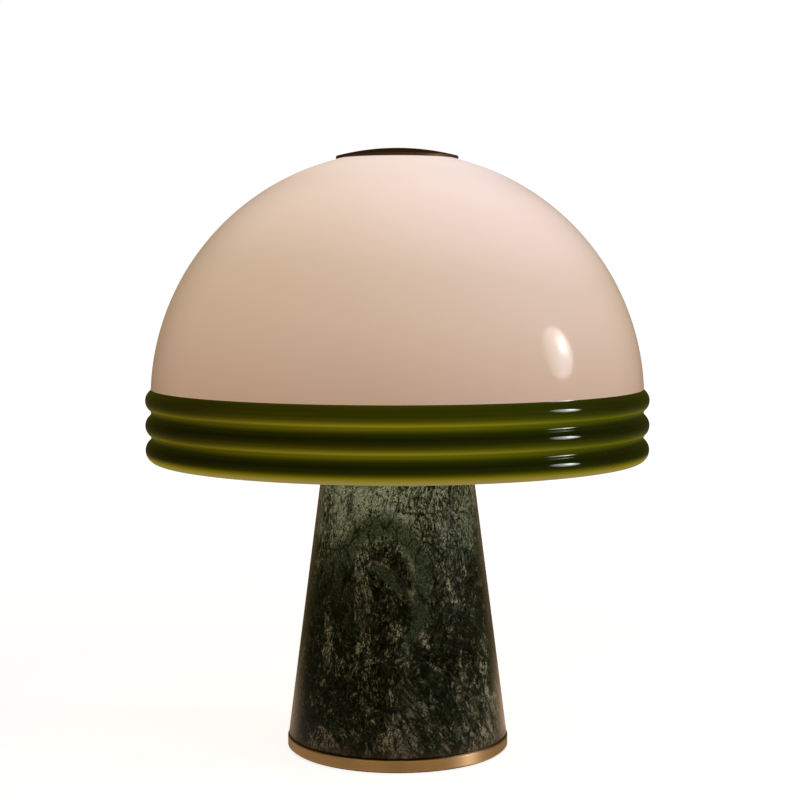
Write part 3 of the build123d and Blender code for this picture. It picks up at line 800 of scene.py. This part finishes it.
# A painted highlight in a lighter bronze along the cap's edge.
cap_edge_highlight_width = 0.8 * MM
distance = from_axis(tree, place)[0]
cap_edge_highlight = both(tree, mask(tree, distance, cap_radius - cap_edge_highlight_width, cap_radius), 0.6)
patina = blend(tree, marks.outputs["Smudges"], (0.055, 0.027, 0.008), (0.120, 0.062, 0.020))
feed(tree, shader, Base_Color=blend(tree, cap_edge_highlight, patina, (0.20, 0.12, 0.07)))
satin = node(tree, "ShaderNodeMapRange", {"Value": marks.outputs["Rings"], "To Min": 0.36, "To Max": 0.52})
feed(tree, shader, Roughness=satin.outputs["Result"])
ring_depth = 0.03 * MM
rough_surface(tree, shader, marks.outputs["Rings"], ring_depth)
paint(bronze, "top_cap")


# Studio: a pale floor, open from below, that runs out into a white backdrop. A soft box above, and an oval
# one on the right that shows in the glass, with a bright heart and a soft left edge. Under the shade a warm
# disc stands for the light that the bulbs send down. The camera is at the front, at the height of the dome.

floor_radius = 40.0
floor_place = (0, 0, -0.3 * MM)
bpy.ops.object.select_all(action="DESELECT")
bpy.ops.mesh.primitive_circle_add(vertices=128, radius=floor_radius, fill_type="NGON", location=floor_place)
floor = bpy.context.object
floor.name = "floor"
paper, tree, shader, place = finish("pale_floor")
tree.nodes.remove(shader)


def seen_rays(tree):
    """1 for rays that the camera sends out, and 1 for rays that leave metal or glass."""
    path = node(tree, "ShaderNodeLightPath").outputs
    shiny = either(tree, path["Is Glossy Ray"], path["Is Transmission Ray"])
    return path["Is Camera Ray"], shiny


camera_ray, shiny_ray = seen_rays(tree)
distance = from_axis(tree, place)[0]
far = mask(tree, distance, 0.35, 1.6)
brightness = both(tree, camera_ray, maths(tree, "MULTIPLY_ADD", far, 0.18, 0.82))
# A painted pool of warm lamp light round the lamp, shown only in reflections.
near = outside(tree, mask(tree, distance, 0.12, 0.55))
painted_light_pool = both(tree, shiny_ray, maths(tree, "MULTIPLY_ADD", near, 0.44, 0.03))
matt_colour = blend(tree, shiny_ray, (0.42, 0.415, 0.41), (0.13, 0.122, 0.02))
matt = node(tree, "ShaderNodeBsdfDiffuse", {"Color": matt_colour})
glow_colour = blend(tree, shiny_ray, (1, 1, 1), (1.0, 0.83, 0.68))
glow = maths(tree, "ADD", brightness, painted_light_pool)
white = node(tree, "ShaderNodeEmission", {"Color": glow_colour, "Strength": glow})
surface = node(tree, "ShaderNodeAddShader", {0: matt.outputs[0], 1: white.outputs[0]})
clear = node(tree, "ShaderNodeBsdfTransparent")
from_below = node(tree, "ShaderNodeNewGeometry").outputs["Backfacing"]
floor_side = node(tree, "ShaderNodeMixShader", {0: from_below, 1: surface.outputs[0], 2: clear.outputs[0]})
tree.links.new(floor_side.outputs[0], tree.nodes["Material Output"].inputs["Surface"])
wear(floor, paper)

world = bpy.data.worlds.new("studio")
bpy.context.scene.world = world
world.use_nodes = True
tree = world.node_tree
white = node(tree, "ShaderNodeBackground", {"Color": (1, 1, 1, 1)})
camera_ray, shiny_ray = seen_rays(tree)
dim = tree.nodes["Background"]
tree.links.new(blend(tree, shiny_ray, (0.13, 0.118, 0.098), (0.05, 0.045, 0.006)), dim.inputs["Color"])
outward = node(tree, "ShaderNodeSeparateXYZ", {0: node(tree, "ShaderNodeTexCoord").outputs["Generated"]})
backdrop = mask(tree, outward.outputs["Y"], 0.985, 0.998)
shown = either(tree, camera_ray, both(tree, shiny_ray, backdrop))
mixed = node(tree, "ShaderNodeMixShader", {0: shown, 1: dim.outputs[0], 2: white.outputs[0]})
tree.links.new(mixed.outputs[0], tree.nodes["World Output"].inputs["Surface"])


def soft_box(name, spot, aim, size, radiance, shape="RECTANGLE", colour=(1, 1, 1)):
    """A soft light that shines from a spot towards another, as bright as given where it is seen."""
    bpy.ops.object.light_add(type="AREA", location=spot)
    lamp = bpy.context.object
    lamp.name = name
    lamp.rotation_euler = (Vector(aim) - Vector(spot)).to_track_quat("-Z", "Y").to_euler()
    lamp.data.shape = shape
    lamp.data.size, lamp.data.size_y = size
    lamp.data.color = colour
    area = size[0] * size[1] * (1 if shape == "RECTANGLE" else pi / 4)
    lamp.data.energy = radiance * pi * area
    return lamp


lamp_middle = (0, 0, 0.3)
overhead = soft_box("overhead_box", spot=(0.3, -0.5, 2.0), aim=lamp_middle, size=(1.6, 1.6),
                    radiance=1.8, colour=(1, 0.95, 0.88))
overhead.visible_glossy = False
side_box = soft_box("side_box", spot=(2.1, -0.46, 0.91), aim=lamp_middle, size=(0.72, 0.80),
                    radiance=40.0, shape="ELLIPSE")
side_box.data.use_nodes = True
tree = side_box.data.node_tree
panel = node(tree, "ShaderNodeNewGeometry").outputs["Parametric"]
across = up_and_across(tree, panel)[1]


def spot_on_panel(middle, half_sizes, inner):
    """1 within an oval on the panel, fading from a share of its size to 0 at its edge."""
    inputs = {"Vector": panel, "Location": (*middle, 0), "Scale": (*half_sizes, 1)}
    within = node(tree, "ShaderNodeMapping", inputs, vector_type="TEXTURE").outputs[0]
    length = node(tree, "ShaderNodeVectorMath", {0: within}, operation="LENGTH").outputs["Value"]
    return outside(tree, mask(tree, length, inner, 1.0))


soft_edge = both(tree, spot_on_panel((0.5, 0.5), (0.5, 0.5), 0.75), mask(tree, across, -0.1, 0.55))
heart = spot_on_panel((0.69, 0.60), (0.24, 0.30), -0.2)
panel_light = both(tree, soft_edge, maths(tree, "MULTIPLY_ADD", heart, 0.75, 0.25))
tree.links.new(panel_light, tree.nodes["Emission"].inputs["Strength"])
bulb_light = soft_box("bulb_light", spot=(0, 0, 0.30), aim=(0, 0, 0), size=(0.34, 0.34),
                      radiance=1.6, shape="ELLIPSE", colour=(1, 0.80, 0.56))
bulb_light.visible_camera = False
bulb_light.visible_glossy = False

camera_distance = 1.4072
camera_height = 0.3816
camera_pitch = 4.174
camera_yaw = 0.088
camera_roll = 0.05
image_width = 800
focal_pixels = 1764.7
bpy.ops.object.camera_add(location=(0, -camera_distance, camera_height))
camera = bpy.context.object
camera.rotation_euler = (radians(90 - camera_pitch), radians(camera_roll), radians(-camera_yaw))
camera.data.sensor_width = 36.0
camera.data.lens = focal_pixels / image_width * camera.data.sensor_width
bpy.context.scene.camera = camera
bpy.context.scene.view_settings.view_transform = "Standard"
